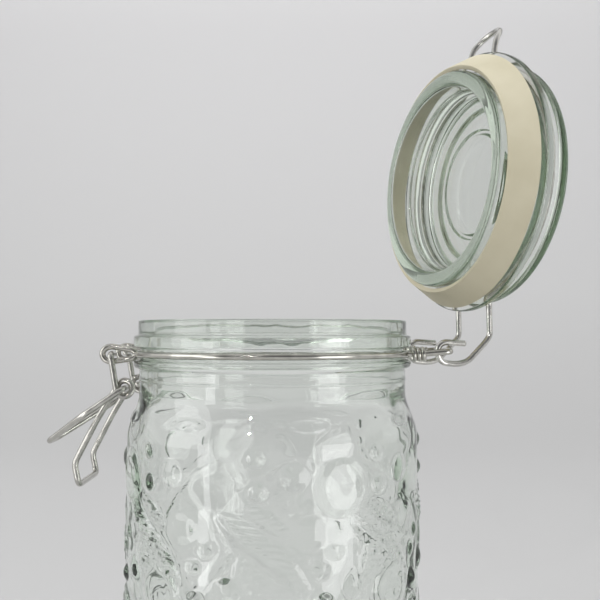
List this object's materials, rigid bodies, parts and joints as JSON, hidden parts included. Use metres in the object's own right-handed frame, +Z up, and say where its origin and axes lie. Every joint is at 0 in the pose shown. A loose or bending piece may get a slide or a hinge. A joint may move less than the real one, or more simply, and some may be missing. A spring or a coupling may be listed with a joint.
{
  "type": "clip top jar",
  "caption": "Clear pressed-glass preserving jar, open and empty, with a hinged glass lid, rubber seal and wire lever clamp.",
  "frame": {"origin": "middle of the jar's flat base, on the surface it stands on", "axes": "+Z up along the jar's axis, the hinge at +X and the clamp at -X"},
  "size_m": [0.182, 0.1074, 0.2642],
  "materials": {
    "jar_glass": "clear pressed glass with a faint green tint and a raised fruit and leaf pattern",
    "neck_steel": "dull galvanised wire",
    "lid_glass": "clear pressed glass with a faint green tint",
    "seal_rubber": "matt cream rubber",
    "lid_steel": "dull galvanised wire",
    "lever_steel": "dull galvanised wire",
    "bail_steel": "dull galvanised wire"
  },
  "bodies": {
    "jar": {"jar_body": "jar_glass", "neck_wire": "neck_steel"},
    "lid": {"lid_glass": "lid_glass", "gasket": "seal_rubber", "lid_wire": "lid_steel"},
    "lever": {"lever": "lever_steel"},
    "bail": {"bail": "bail_steel"}
  },
  "joints": [
    {"name": "lid_hinge", "type": "hinge", "parent": "jar", "child": "lid", "pos_m": [0.0634, -0.01309, 0.13969], "axis": [0.182, -0.9679, -0.1733], "range_deg": [0, 94.6], "deforming": ["gasket"]},
    {"name": "lever_swing", "type": "hinge", "parent": "jar", "child": "lever", "pos_m": [-0.0569, 0, 0.1381], "axis": [0, 1, 0], "range_deg": [0, 110]},
    {"name": "bail_swing", "type": "hinge", "parent": "lever", "child": "bail", "pos_m": [-0.0521, 0, 0.126], "axis": [0, 1, 0], "range_deg": [-12, 45]}
  ]
}
